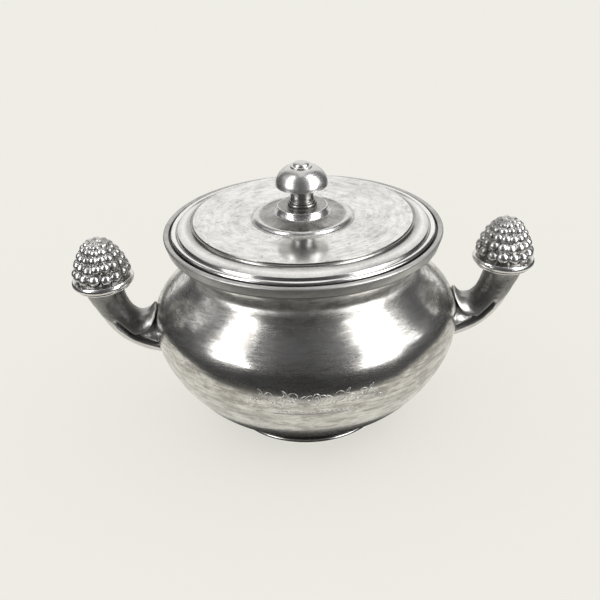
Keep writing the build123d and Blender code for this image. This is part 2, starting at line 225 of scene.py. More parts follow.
def grid_mesh(name, points, values, flip):
    """A tube of points[row][column], closed round its columns and capped at both ends."""
    rows, columns, _ = points.shape
    verts = [tuple(v) for v in points.reshape(-1, 3)]
    faces = []
    for i in range(rows - 1):
        near, far = i * columns, (i + 1) * columns
        for k in range(columns):
            m = (k + 1) % columns
            faces.append([near + k, near + m, far + m, far + k])
    for row, order in ((0, 1), (rows - 1, -1)):
        centre = len(verts)
        verts.append(tuple(points[row].mean(0)))
        for k in range(columns):
            m = (k + 1) % columns
            faces.append([row * columns + k, centre, row * columns + m][::order])
    if flip:
        faces = [f[::-1] for f in faces]
    mesh = bpy.data.meshes.new(name)
    mesh.from_pydata(verts, [], faces)
    mesh.update()
    set_recess(mesh, np.append(values.reshape(-1), [0, 0]).astype(np.float32))
    return mesh


def step(x, low, high):
    """0 below low, 1 above high, and smooth between."""
    t = np.clip((x - low) / (high - low), 0, 1)
    return t * t * (3 - 2 * t)


def hump(x, middle, width):
    """1 in the middle, falling away smoothly on both sides."""
    return np.exp(-(((x - middle) / width) ** 2))


def spot(x, y, middle, width):
    """1 at the middle point, falling away smoothly all round it."""
    return np.exp(-(((x - middle[0]) / width[0]) ** 2 + ((y - middle[1]) / width[1]) ** 2))


def read_off(table, value):
    """What a table of (place, number) pairs says at a value, with straight lines between."""
    return float(np.interp(value, *np.transpose(table)))


def ripple(p, size, seed, waves=14):
    """Smooth noise from -1 to 1 with features of about this size, the same on every run."""
    rng = np.random.default_rng(seed)
    total = np.zeros(p.shape[:-1])
    for _ in range(waves):
        way = unit(rng.normal(size=3)) * 2 * math.pi / size / rng.uniform(0.7, 1.6)
        total += np.sin(p @ way + rng.uniform(0, 2 * math.pi))
    return total / math.sqrt(waves)


# ---------------------------------------------------------------- materials
class Nodes:
    """A short way to write a node tree."""

    def __init__(self, name):
        self.material = bpy.data.materials.new(name)
        self.material.use_nodes = True
        self.tree = self.material.node_tree
        self.tree.nodes.clear()
        self.out = self.tree.nodes.new("ShaderNodeOutputMaterial")

    def put(self, socket, value):
        if isinstance(value, bpy.types.NodeSocket):
            self.tree.links.new(value, socket)
        elif value is not None:
            socket.default_value = value

    def math(self, operation, a, b=None, clamp=False):
        node = self.tree.nodes.new("ShaderNodeMath")
        node.operation = operation
        node.use_clamp = clamp
        for socket, value in zip(node.inputs, (a, b)):
            self.put(socket, value)
        return node.outputs[0]

    def plus(self, a, b, clamp=False):
        return self.math("ADD", a, b, clamp)

    def times(self, a, b):
        return self.math("MULTIPLY", a, b)

    def vector(self, x, y, z):
        node = self.tree.nodes.new("ShaderNodeCombineXYZ")
        for socket, value in zip(node.inputs, (x, y, z)):
            self.put(socket, value)
        return node.outputs[0]

    def noise(self, vector, scale, detail, rough=0.55, distort=0.0):
        node = self.tree.nodes.new("ShaderNodeTexNoise")
        self.put(node.inputs["Vector"], vector)
        node.inputs["Scale"].default_value = scale
        node.inputs["Detail"].default_value = detail
        node.inputs["Roughness"].default_value = rough
        node.inputs["Distortion"].default_value = distort
        return node.outputs[0]

    def between(self, value, low, high, to_low=0.0, to_high=1.0):
        """A value's part between low and high, spread over to_low to to_high."""
        node = self.tree.nodes.new("ShaderNodeMapRange")
        node.interpolation_type = "SMOOTHSTEP"
        self.put(node.inputs["Value"], value)
        node.inputs["From Min"].default_value = low
        node.inputs["From Max"].default_value = high
        node.inputs["To Min"].default_value = to_low
        node.inputs["To Max"].default_value = to_high
        return node.outputs["Result"]

    def mix(self, share, a, b):
        node = self.tree.nodes.new("ShaderNodeMix")
        node.data_type = "RGBA"
        self.put(node.inputs[0], share)
        for socket, value in ((node.inputs[6], a), (node.inputs[7], b)):
            self.put(socket, (*value, 1) if isinstance(value, tuple) else value)
        return node.outputs[2]


# dark colours that both the staining and the painted shade mix towards
GREY_TARNISH_AND_SHADE = (0.34, 0.325, 0.30)
DARK_TARNISH_AND_SHADE = (0.2, 0.193, 0.18)
DUST = (0.5, 0.49, 0.47)
HAZE_IOR = 2.2
HAZE_ROUGHNESS = 0.45
RELIEF = 0.00002  # height of the brushing and the pits, in metres
AXIS_CLEAR = 0.0005  # nearer to the axis than this, the brushing isn't turned about it
CLEAN_SHARE = 0.3  # of the stain is left outside the radius clean_from
CLEAN_EDGE = 0.0008
MATTE_EDGE = 0.004
MATTE_ROUGHNESS = 0.3


def metal(
    name,
    bright,
    rough,
    mottled,
    streaky,
    tarnish_and_shade=GREY_TARNISH_AND_SHADE,
    brushed=0.08,
    across="z",
    bump=0.5,
    recesses=0.0,
    pits=0.15,
    clean_from=None,
    haze=0.6,
    matte_above=None,
):
    """Worn metal: fine brushing round the axis, cloudy and banded staining, painted shade and
    painted highlights read from the recess attribute, pits, and a hazy second reflection.
    Brushing and bands follow one another along z or along the radius, which across says. The
    staining is weaker outside the radius clean_from, and the metal is duller above the height
    matte_above."""
    n = Nodes(name)
    tree = n.tree
    here = tree.nodes.new("ShaderNodeTexCoord").outputs["Object"]
    apart = tree.nodes.new("ShaderNodeSeparateXYZ")
    tree.links.new(here, apart.inputs[0])
    x, y, z = apart.outputs
    radius = n.math("SQRT", n.plus(n.times(x, x), n.times(y, y)))
    safe = n.math("MAXIMUM", radius, AXIS_CLEAR)
    cosine = n.math("DIVIDE", x, safe)
    sine = n.math("DIVIDE", y, safe)
    height = {"z": z, "r": radius}[across]

    def round_axis(turns, fine):
        return n.vector(n.times(cosine, turns), n.times(sine, turns), n.times(height, fine))

    brush = n.noise(round_axis(9.0, 2600.0), 1.0, 3.0, 0.6)
    bands = n.noise(round_axis(3.2, 420.0), 1.0, 5.0, 0.6, 0.25)
    cloud = n.noise(here, 70.0, 6.0, 0.62, 0.6)
    blotch = n.noise(round_axis(6.0, 210.0), 1.0, 9.0, 0.7, 0.5)
    patch = n.noise(round_axis(5.0, 520.0), 1.0, 8.0, 0.72, 0.8)
    grain = n.noise(here, 900.0, 4.0, 0.7)
    specks = n.noise(here, 420.0, 2.0, 0.5)

    stain_and_shade = n.times(n.between(cloud, 0.42, 0.72), mottled)
    for pattern, low, high, share in (
        (patch, 0.41, 0.66, 0.7 * streaky),
        (blotch, 0.42, 0.62, 0.5 * streaky),
        (bands, 0.5, 0.8, 0.5 * streaky),
        (specks, 0.66, 0.74, pits),
    ):
        stain_and_shade = n.plus(stain_and_shade, n.times(n.between(pattern, low, high), share))
    if clean_from:
        kept = n.between(radius, clean_from, clean_from + CLEAN_EDGE, 1.0, CLEAN_SHARE)
        stain_and_shade = n.times(stain_and_shade, kept)
    # painted shade, and on the horns painted highlights, read from the recess attribute and broken
    # up by the grain; it darkens towards the same colour as the staining
    if recesses:
        found = tree.nodes.new("ShaderNodeAttribute")
        found.attribute_name = "recess"
        deep = n.times(found.outputs["Fac"], n.between(grain, 0.2, 0.8, 0.8, 1.1))
        stain_and_shade = n.plus(stain_and_shade, n.times(deep, recesses))
    stain_and_shade = n.math("MINIMUM", stain_and_shade, 1.0)
    colour = n.mix(stain_and_shade, bright, tarnish_and_shade)
    colour = n.mix(n.between(grain, 0.35, 0.65, 0.0, 0.12), colour, DUST)

    roughness = n.between(brush, 0.3, 0.7, rough - brushed, rough + brushed)
    roughness = n.plus(roughness, n.times(stain_and_shade, 0.07))
    roughness = n.plus(roughness, n.between(cloud, 0.3, 0.7, -0.03, 0.03), clamp=True)
    if matte_above:
        duller = n.between(z, matte_above, matte_above + MATTE_EDGE, 0.0, MATTE_ROUGHNESS)
        roughness = n.plus(roughness, duller)

    relief = n.plus(n.times(brush, 0.6), n.times(grain, 0.25))
    relief = n.math("SUBTRACT", relief, n.times(n.between(specks, 0.68, 0.76), 1.5))
    raised = tree.nodes.new("ShaderNodeBump")
    raised.inputs["Strength"].default_value = bump
    raised.inputs["Distance"].default_value = RELIEF
    tree.links.new(relief, raised.inputs["Height"])

    shader = tree.nodes.new("ShaderNodeBsdfPrincipled")
    shader.inputs["Metallic"].default_value = 1.0
    shader.inputs["Coat Weight"].default_value = haze
    shader.inputs["Coat IOR"].default_value = HAZE_IOR
    shader.inputs["Coat Roughness"].default_value = HAZE_ROUGHNESS
    tree.links.new(colour, shader.inputs["Base Color"])
    tree.links.new(roughness, shader.inputs["Roughness"])
    tree.links.new(raised.outputs[0], shader.inputs["Normal"])
    tree.links.new(shader.outputs[0], n.out.inputs["Surface"])
    return n.material


bowl_silver = metal(
    "bowl_silver",
    bright=(0.79, 0.777, 0.745),
    rough=0.18,
    brushed=0.03,
    mottled=0.42,
    streaky=1.05,
    bump=0.3,
    recesses=1.0,
    haze=0.45,
    matte_above=0.0635,
)
# its near-black colour is for the band's painted shade
rim_silver = metal(
    "rim_silver",
    bright=(0.56, 0.552, 0.53),
    tarnish_and_shade=(0.04, 0.038, 0.034),
    rough=0.45,
    brushed=0.05,
    mottled=0.3,
    streaky=0.25,
    recesses=1.0,
    haze=1.0,
)
# a darker copy of the silver, with a dark colour for its painted shade: painted shade on the foot,
# under the belly
foot_silver = metal(
    "foot_silver",
    bright=(0.55, 0.54, 0.52),
    tarnish_and_shade=(0.15, 0.145, 0.135),
    rough=0.17,
    brushed=0.05,
    mottled=0.35,
    streaky=0.2,
    recesses=1.0,
)
inner_silver = metal(
    "inner_silver",
    bright=(0.74, 0.73, 0.705),
    rough=0.26,
    mottled=0.35,
    streaky=0.3,
)
# a near-black copy of the silver: painted shade on the seat ring inside the bowl
seat_silver = metal(
    "seat_silver",
    bright=(0.1, 0.095, 0.09),
    tarnish_and_shade=(0.02, 0.02, 0.018),
    rough=0.4,
    mottled=0.5,
    streaky=0.3,
    haze=0.0,
)
lid_silver = metal(
    "lid_silver",
    bright=(0.94, 0.935, 0.92),
    tarnish_and_shade=DARK_TARNISH_AND_SHADE,
    rough=0.15,
    brushed=0.02,
    mottled=0.25,
    streaky=0.4,
    across="r",
    bump=0.3,
    pits=0.5,
    recesses=1.0,
    clean_from=0.0428,
    haze=0.3,
)
boss_silver = metal(
    "boss_silver",
    bright=(0.82, 0.815, 0.8),
    tarnish_and_shade=DARK_TARNISH_AND_SHADE,
    rough=0.24,
    brushed=0.03,
    mottled=0.3,
    streaky=0.3,
    across="r",
    bump=0.3,
    recesses=1.0,
)
knob_silver = metal(
    "knob_silver",
    bright=(0.66, 0.655, 0.64),
    rough=0.3,
    brushed=0.02,
    mottled=0.25,
    streaky=0.15,
    bump=0.2,
    haze=1.0,
)
# a dark copy of the silver: painted shade on the knob's neck, under its cap
stem_silver = metal(
    "stem_silver",
    bright=(0.26, 0.255, 0.245),
    tarnish_and_shade=(0.12, 0.115, 0.105),
    rough=0.24,
    brushed=0.03,
    mottled=0.4,
    streaky=0.3,
    bump=0.25,
)
cast_silver = metal(
    "cast_silver",
    bright=(0.72, 0.71, 0.69),
    tarnish_and_shade=(0.05, 0.048, 0.043),
    rough=0.35,
    brushed=0.02,
    mottled=0.15,
    streaky=0.0,
    bump=0.25,
    recesses=1.0,
    haze=0.5,
)
collar_silver = metal(
    "collar_silver",
    bright=(0.76, 0.75, 0.73),
    rough=0.22,
    brushed=0.02,
    mottled=0.2,
    streaky=0.0,
    bump=0.2,
)
acorn_silver = metal(
    "acorn_silver",
    bright=(0.7, 0.69, 0.67),
    tarnish_and_shade=(0.07, 0.067, 0.06),
    rough=0.29,
    brushed=0.02,
    mottled=0.15,
    streaky=0.0,
    bump=0.12,
    recesses=0.95,
)
brass = metal(
    "fastener_brass",
    bright=(0.75, 0.58, 0.30),
    tarnish_and_shade=(0.3, 0.2, 0.09),
    rough=0.3,
    mottled=0.4,
    streaky=0.2,
)

# the inner and hidden pieces keep their CAD solids
for node_name, material in {
    "seat_ring": seat_silver,
    "lid_flange": inner_silver,
    "knob_base": knob_silver,
    "knob_stud": brass,
    "knob_washer": brass,
    "knob_nut": brass,
    "left_acorn_dowel": brass,
    "right_acorn_dowel": brass,
}.items():
    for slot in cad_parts[node_name].material_slots:
        slot.material = material

# ---------------------------------------------------------------- bowl
belly = spline(
    [(18, 3.6), (37, 8.2), (48.6, 18), (56.6, 30), (60, 44), (58.3, 51.2), (55, 55.8)]
    + [(50.5, 60.3), (46.6, 63.9), (44.6, 66.6), (45.4, 69.4), (52.2, 75.6)],
    (1, 0.05),
    (0.7, 1),
    steps=130,
)
belly_line = np.array(belly)


def belly_radius(z):
    return np.interp(z, belly_line[:, 1], belly_line[:, 0])


def mouth_painted_shade(r, z):
    """Painted shade on the bowl's mouth, where the rim band is soldered round it."""
    return float(r > 50 and z > 75.2)


def band_painted_shade(r, z):
    """Painted shade on the band's inner and under side, and a little darker on its top."""
    return float(r < 52.3 or z < 76.6) + 0.2 * float(z > 80.4)


inside = inset(belly, WALL)
bowl = belly + [(52.2, 78.0), (inside[-1][0], 78.0)] + inside[::-1] + [(0, inside[0][1]), (0, 3.6)]
lathe(
    "sugar_bowl", bowl, "bowl", bowl_silver, ["bowl_shell"], soft=0.25,
    dark=mouth_painted_shade,
)

band = [(52.2, 76.2), (53.2, 76.2), (53.3, 76.5), (53.35, 76.65)]
band += arc((54.5, 79.9), (54.3, 80.55), (53.8, 80.8))
band += [(52.5, 80.7), (52.2, 80.3)]
lathe(
    "mouth_band", band, "bowl", rim_silver, ["rim_band"], soft=0.18,
    dark=band_painted_shade,
)

cove = spline([(27.7, 1.3), (26.0, 2.5), (25.4, 5.0)], steps=16)
foot = cove + inset(cove, WALL)[::-1]
# the foot's cove is painted with shade all over, under the belly
lathe(
    "foot_cove", foot, "bowl", foot_silver, ["foot_ring"], soft=0.1,
    dark=lambda r, z: 0.85,
)
wire = [(26.3, 0), (26.3, 1.3)] + arc((27.9, 1.3), (28.3, 0.65), (27.9, 0))
lathe("foot_bead", wire, "bowl", foot_silver, ["foot_wire"], soft=0.15)

# ---------------------------------------------------------------- lid and knob
# painted shade in the lid's steps: radius, darkness
LID_DARK = [
    (42.6, 0),
    (42.75, 0.95),
    (43.0, 0.9),
    (43.4, 0.8),
    (44.8, 0.6),
    (46.2, 0),
    (48.2, 0),
    (48.8, 0.65),
    (49.3, 0.75),
]
# painted shade on the boss's hollow slope: radius, darkness
BOSS_DARK = [
    (9.0, 0.1),
    (10.6, 0.15),
    (11.2, 0.65),
    (15.6, 0.72),
    (16.6, 0.6),
    (17.1, 0.0),
    (18.8, 0.0),
    (19.6, 0.4),
]


def lid_painted_shade(r, z):
    """Painted shade in the lid's steps, by radius, and less of it on the underside."""
    if z < 84.6 and r < 43.2:
        return 0.3
    return read_off(LID_DARK, r)


def gap_painted_shade(r, z):
    """Painted shade in the gap between the lid's edge and the rim."""
    return float(z < 80.9 and r > 51.3)


def boss_painted_shade(r, z):
    """Painted shade on the hollow slope, between the boss's bright moulding and its neck."""
    return read_off(BOSS_DARK, r)


def disc_painted_shade(r, z):
    """Painted shade on the disc's top, under the knob's cap, and on its underside, inside its
    bright edge.
    """
    return 0.75 * float(r < 9.4)


plate = [(49.3, 80.2), (49.3, 81.3), (48.7, 82.4), (46.4, 83.3)]
plate += arc((45.1, 83.8), (44.2, 84.15), (43.4, 84.85))
plate += [(42.8, 84.9), (42.8, 85.2), (42.6, 85.4), (STUD, 85.4), (STUD, 84.2)]
plate += [(41.8, 84.2), (44.2, 82.2), (45.8, 82.2), (48.2, 81.2)]
lathe(
    "lid_top", plate, "lid", lid_silver, ["lid_plate"], soft=0.2,
    dark=lid_painted_shade,
)

lip = [(49.3, 81.2), (49.3, 79.4), (51.5, 79.4)] + arc((51.5, 80.8), (50.5, 81.7), (49.3, 81.2))
lathe(
    "lid_edge", lip, "lid", lid_silver, ["lid_lip"], soft=0.1,
    dark=gap_painted_shade,
)

boss = [(STUD, 89.9), (STUD, 85.4), (20.3, 85.4)]
boss += spline(
    [(20.2, 85.5), (19.3, 85.95), (18.5, 86.65), (17.5, 86.95), (16.6, 86.5), (15.3, 86.3)]
    + [(13.2, 86.75), (11.2, 87.6)],
    (-1, 0.1),
)
boss += spline([(11.0, 87.75), (10.1, 88.4), (9.45, 89.2), (9.1, 89.9)], (-1, 0.3), (-0.2, 1))
lathe(
    "knob_boss", boss, "lid", boss_silver, ["lid_boss"], soft=0.12,
    dark=boss_painted_shade,
)

disc = [(6.6, 90.5), (6.0, 90.9), (STUD, 90.9), (STUD, 89.9)]
disc += arc((9.6, 89.9), (9.9, 90.25), (9.6, 90.6)) + [(9.3, 90.6)]
lathe(
    "knob_disc", disc, "lid", boss_silver, ["boss_disc"], soft=0.05,
    dark=disc_painted_shade,
)

stem = [(STUD, 98.9), (STUD, 90.9)] + arc((5.4, 90.9), (5.75, 91.5), (5.4, 92.1))
stem += arc((5.0, 92.2), (5.25, 92.6), (4.85, 93.0))
stem += spline([(4.7, 93.1), (4.5, 94.3), (4.75, 96.6), (5.6, 98.9)])
lathe(
    "knob_neck", stem, "lid", stem_silver, ["knob_stem"], soft=0.1,
    segments=160,
)

dome = [(8.9, 98.9), (9.7, 98.9)] + arc((9.8, 98.92), (10.1, 99.1), (10.15, 99.5))
dome += spline(
    [(10.15, 99.6), (9.7, 101.7), (8.3, 104.0), (6.4, 105.6), (4.5, 106.4)], (0, 1), (-1, 0.3)
)
dome += [(STUD, 106.4), (STUD, 105.2)]
dome += spline([(4.5, 105.2), (7.6, 103.0), (8.9, 100.1)], (1, -0.3), (0, -1))
lathe(
    "knob_cap", dome, "lid", knob_silver, ["knob_dome"], soft=0.12,
    segments=224,
)

ring = [(STUD, 106.4), (4.3, 106.4), (4.3, 107.0), (STUD, 107.0)]
lathe(
    "knob_collet", ring, "lid", knob_silver, ["knob_ring"], soft=0.3,
    segments=128,
)
button = [(0, 107.65), (STUD, 107.65), (STUD, 107.0)]
button += spline([(3.1, 107.0), (0, 108.5)], (0, 1), (-1, 0))
lathe(
    "knob_tip", button, "lid", knob_silver, ["knob_button"], soft=0.08,
    segments=128,
)

# ---------------------------------------------------------------- handles
LEAN = math.radians(5.5)  # of the acorn and the top of the horn, away from the bowl
KNOP = (79.1, 0, 62.9)  # where the right acorn's axis crosses the collar
HORN_TOP = -2.4  # along that axis
HORN_END = 0.5  # how far inside the bowl's outer surface the horn ends
HORN_ROWS, HORN_COLUMNS = 330, 300
HORN_LINE = [(76.3, 52.6), (72.4, 46.2), (66.4, 41.5), (58.0, 38.9), (51.0, 38.6)]
# tenths of the way along the horn, half depth, half width
HORN_SIZES = [
    (0.0, 8.6, 8.6),
    (0.7, 7.4, 7.7),
    (2.0, 6.5, 7.0),
    (4.0, 6.3, 6.8),
    (5.8, 6.8, 7.2),
    (7.8, 7.7, 7.8),
    (10.0, 8.2, 8.3),
]
LEAF_LINE = [(84.0, 52.0), (75.3, 46.6), (69.2, 41.0), (62.0, 37.7), (50.0, 33.4)]
LOBE_LINE = [(50.0, 48.0), (59.6, 47.0), (61.4, 44.6), (64.4, 42.6), (69.2, 41.0)]
GROOVE_DEPTH = 1.2
WEB_DEPTH = 2.5
BALL = (59.6, 45.2)  # the round end of the upper lobe
BALL_RISE = 2.5
DENT = (75.2, 46.9)
TIP_X = 60.6
TIP_RISE = 4.2
TIP_WAY = (-0.28, 0, 1.0)
BROW_X = 61.4
BROW_RISE = 1.3
STALK_DARK = 0.76
lean_way = np.array([math.sin(LEAN), math.cos(LEAN)])


def push_out(p):
    """Moves what lies inside the bowl out into the thickness of its wall."""
    wall = belly_radius(p[..., 2]) - HORN_END
    far = np.hypot(p[..., 0], p[..., 1])
    grow = np.where(far < wall, wall / np.maximum(far, TINY), 1)
    return p * np.stack([grow, grow, np.ones_like(grow)], -1)


def side_distance(line, x, z):
    """How far points are from a line in the handle's plane, positive on its left."""
    best = np.full(x.shape, 1e9)
    signed = np.zeros(x.shape)
    for (ax, az), (bx, bz) in zip(line[:-1], line[1:]):
        dx, dz = bx - ax, bz - az
        t = np.clip(((x - ax) * dx + (z - az) * dz) / (dx * dx + dz * dz), 0, 1)
        ex, ez = x - ax - t * dx, z - az - t * dz
        far = np.hypot(ex, ez)
        nearer = far < best
        best = np.where(nearer, far, best)
        signed = np.where(nearer, np.where(dx * ez - dz * ex > 0, far, -far), signed)
    return signed


def horn_tube():
    """The horn as a plain tube: points, unit normals, place along it, cosine round it."""
    start = np.array([KNOP[0], KNOP[2]]) + HORN_TOP * lean_way
    path = through([tuple(start)] + HORN_LINE, -lean_way, (-1, 0))
    u = np.linspace(0, 1, HORN_ROWS)
    centre = path(u)
    way = np.gradient(centre, axis=0)
    way /= np.linalg.norm(way, axis=1)[:, None]
    outer = np.stack([-way[:, 1], way[:, 0]], 1)
    fit = through(HORN_SIZES)(np.linspace(0, 1, 400))
    deep = np.interp(10 * u, fit[:, 0], fit[:, 1])[:, None]
    wide = np.interp(10 * u, fit[:, 0], fit[:, 2])[:, None]
    turn = np.linspace(0, 2 * math.pi, HORN_COLUMNS, endpoint=False)[None, :]
    c, s = np.cos(turn), np.sin(turn)
    x = centre[:, :1] + outer[:, :1] * deep * c
    z = centre[:, 1:] + outer[:, 1:] * deep * c
    y = wide * s + 0 * x
    nx, ny, nz = outer[:, :1] * c / deep, s / wide + 0 * x, outer[:, 1:] * c / deep
    size = np.sqrt(nx**2 + ny**2 + nz**2)
    normal = np.stack([nx / size, ny / size, nz / size], -1)
    return np.stack([x, y, z], -1), normal, u, c


def horn(side, name, seed):
    """One cast handle: a stalk that spreads into a lower leaf and an upper lobe with a tip."""
    p, normal, u, c = horn_tube()
    x, y, z = (p[..., k].copy() for k in range(3))
    above = -side_distance(spline(LEAF_LINE, steps=60), x, z)
    beyond = side_distance(spline(LOBE_LINE, steps=60), x, z)

    # the leaf's raised edge and groove, the hollow web above it, and the lobe's round boss
    facing = step(np.abs(normal[..., 1]), 0.12, 0.4)
    begun = 1 - step(x, 74.4, 75.6)
    groove = hump(above, 0.1, 0.6) * begun * facing
    edge = hump(above, -1.15, 0.5) * begun * facing
    web = step(above, 0.1, 0.9) * step(-beyond, 0.0, 0.7) * step(70.5 - x, 0, 2.5) * facing
    hollow = WEB_DEPTH * web * np.exp(-np.clip(-beyond, 0, 9) / 3.2)
    lip = hump(beyond, 0.9, 0.8) * step(69 - x, 0, 4) * facing
    ball = spot(x, z, BALL, (3.8, 3.2)) * facing
    ridge = np.exp(-np.clip(-above - 0.7, 0, 9) / 2.4) * step(-above, 0.3, 0.9) * begun * facing
    dent = spot(x, z, DENT, (0.9, 0.8)) * facing
    rise = -GROOVE_DEPTH * groove + 0.25 * edge - hollow + 0.4 * ridge + 0.1 * lip
    rise = rise + BALL_RISE * ball * (1 - web) - 0.3 * dent
    rise += 0.05 * ripple(p, 5.0, seed) + 0.02 * ripple(p, 1.6, seed + 1)
    p += normal * rise[..., None]

    # the upper lobe ends in a small tip that curls up against the bowl
    tip = spot(x, y, (TIP_X, 0), (1.5, 2.6)) * step(normal[..., 2], 0.2, 0.7)
    brow = spot(x, y, (BROW_X, 0), (3.0, 4.5)) * step(normal[..., 2], 0.1, 0.6)
    p += np.array(TIP_WAY) * (TIP_RISE * tip + BROW_RISE * brow)[..., None]
    p = push_out(p)

    # a dark satin base on the stalk, painted highlights on the lobe, the web, the leaf's raised
    # edge and the leaf below the groove, lighter at the tip and the dent, and painted shade in the
    # groove, along the lobe, on the inner side and where the horn meets the bowl and the collar
    painted_highlight = (1 - step(x, 62.0, 69.5)) * step(above, -0.3, 0.5)
    dark = STALK_DARK - 0.62 * painted_highlight - 0.6 * step(-above, 0.5, 1.6) - 0.5 * edge
    dark += 0.9 * groove + 0.25 * hump(beyond, 0, 0.45) * step(70 - x, 0, 4) * facing
    dark += 0.35 * step(-c, 0.2, 0.8) * (1 - step(64 - x, 0, 3))
    far = np.hypot(p[..., 0], p[..., 1]) - belly_radius(p[..., 2])
    dark += 0.6 * (1 - step(far, 0.1, 0.9)) + 0.4 * (1 - step(u, 0.0, 0.03))[:, None]
    dark = np.clip(dark * (1 - 0.8 * tip) - 0.7 * dent, 0, 1)
    p[..., 0] *= side
    mesh = grid_mesh(name + "_horn_cast", p * MM, dark, flip=side < 0)
    stands_for = [name + "_horn", name + "_horn_leaf", name + "_horn_root"]
    return add_piece(name + "_horn_cast", mesh, "bowl", cast_silver, stands_for)


ACORN_ROWS, ACORN_COLUMNS = 190, 480
CORE_RADIUS = 10.3
CORE_HEIGHT = 14.7
CORE_WAIST = 0.11
COLLAR_TOP = 1.4
FOOT_DEPTH = 0.8  # of the straight part under the core
FOOT_ROWS = 7
# degrees up from the core's base, beads in the row
BEAD_ROWS = [(8.5, 14), (23.5, 15), (38.0, 14), (52.0, 11), (65.0, 8), (77.0, 5)]
BEAD_HEIGHT = 1.6
BEAD_TALL = 2.0
BEAD_REACH = 1.02
NET_HEIGHT = 0.38
NET_WIDTH = 0.22
NET_TOP = 76


def make_beads(seed):
    """Each bead's angle, degrees up, pitch, size against the lowest row, and own growth."""
    rng = np.random.default_rng(seed)
    beads = []
    for i, (row, count) in enumerate(BEAD_ROWS):
        spread = CORE_RADIUS * math.cos(math.radians(row))
        pitch = 2 * math.pi * spread / count
        small = (BEAD_ROWS[0][1] * pitch / (2 * math.pi * CORE_RADIUS)) ** 0.6
        for k in range(count):
            angle = 2 * math.pi * (k + 0.5 * (i % 2)) / count + rng.normal(0, 0.016)
            beads.append((angle, row + rng.normal(0, 0.7), pitch, small, rng.uniform(0.92, 1.08)))
    return beads


def acorn(side, name, place, seed):
    """The knop: rows of round beads in a net of fine ridges, worn smooth towards the top."""
    low = np.linspace(-FOOT_DEPTH, 0, FOOT_ROWS + 1)[:-1]
    lat = np.linspace(0, 89.6, ACORN_ROWS - FOOT_ROWS)
    rise = CORE_HEIGHT * np.sin(np.radians(lat)) ** 0.97
    up = np.concatenate([low, rise]) + COLLAR_TOP + FOOT_DEPTH
    slim = 1 - CORE_WAIST * np.sin(np.radians(lat) * 2) ** 2
    shrunk = CORE_RADIUS * np.cos(np.radians(lat)) * slim
    radius = np.concatenate([np.full(FOOT_ROWS, CORE_RADIUS), shrunk])[:, None]
    lat = np.concatenate([low * 4, lat])[:, None]
    turn = np.linspace(0, 2 * math.pi, ACORN_COLUMNS, endpoint=False)[None, :]
    across = CORE_RADIUS * np.sin(np.radians(lat))
    tall = CORE_HEIGHT * np.cos(np.radians(lat))
    scale_up = np.radians(1) * np.sqrt(across**2 + tall**2)

    nearest = np.full((ACORN_ROWS, ACORN_COLUMNS), 9.0)
    second = np.full((ACORN_ROWS, ACORN_COLUMNS), 9.0)
    height = np.zeros((ACORN_ROWS, ACORN_COLUMNS))
    for angle, row, pitch, small, grow in make_beads(seed):
        off = (turn - angle + math.pi) % (2 * math.pi) - math.pi
        dx = off * radius / (0.5 * pitch)
        dy = (lat - row) * scale_up / (BEAD_TALL * small)
        far = np.hypot(dx, dy) / grow
        dome = BEAD_HEIGHT * small * np.clip(1 - (far / BEAD_REACH) ** 2, 0, 1) ** 0.62
        height = np.maximum(height, dome)
        closer = far < nearest
        second = np.where(closer, nearest, np.minimum(second, far))
        nearest = np.where(closer, far, nearest)
    net = hump(second - nearest, 0, NET_WIDTH) * (lat < NET_TOP)
    net = net * NET_HEIGHT
    relief = np.maximum(height, net)

    # worn towards the top and on the side that faces the bowl
    p = np.stack([radius * np.cos(turn), radius * np.sin(turn), up[:, None] + 0 * turn], -1)
    inward = -np.cos(turn)
    worn = step(lat, 60, 82) * 0.75 + step(lat, 36, 66) * step(inward, 0.2, 0.95) * 0.5
    worn = np.clip(worn, 0, 0.9)
    mush = 0.34 + 0.24 * ripple(p, 2.2, seed) + 0.16 * ripple(p, 1.1, seed + 3)
    relief = relief * (1 - worn) + worn * np.clip(mush, 0, 1.1)
    relief *= step(lat, -3.2, 2.0) * 0.85 + 0.15
    relief *= 1 - 0.35 * step(lat, 84, 90)
    relief += 0.02 * ripple(p, 1.2, seed + 7)
    nr = np.cos(np.radians(lat)) / CORE_RADIUS
    nz = np.sin(np.radians(lat)) / CORE_HEIGHT
    nr, nz = nr / np.hypot(nr, nz), nz / np.hypot(nr, nz)
    p[..., 0] += relief * nr * np.cos(turn)
    p[..., 1] += relief * nr * np.sin(turn)
    p[..., 2] += relief * nz

    # painted shade between the beads, less of it on the net's ridges and where worn, and painted
    # shade on the side that faces the bowl
    dark = np.clip(1.15 - relief / 0.72, 0, 1) * (1 - 0.35 * worn) * (1 - 0.5 * net / NET_HEIGHT)
    dark = np.clip(dark + 0.55 * step(inward, 0.25, 0.85) * (1 - step(lat, 60, 85)), 0, 1)
    m = np.array(place)
    p = (p * MM) @ m[:3, :3].T + m[:3, 3]
    p[..., 0] *= side
    piece = name + "_acorn_beads"
    mesh = grid_mesh(piece, p, dark, flip=side > 0)
    return add_piece(piece, mesh, "bowl", acorn_silver, [name + "_acorn"])


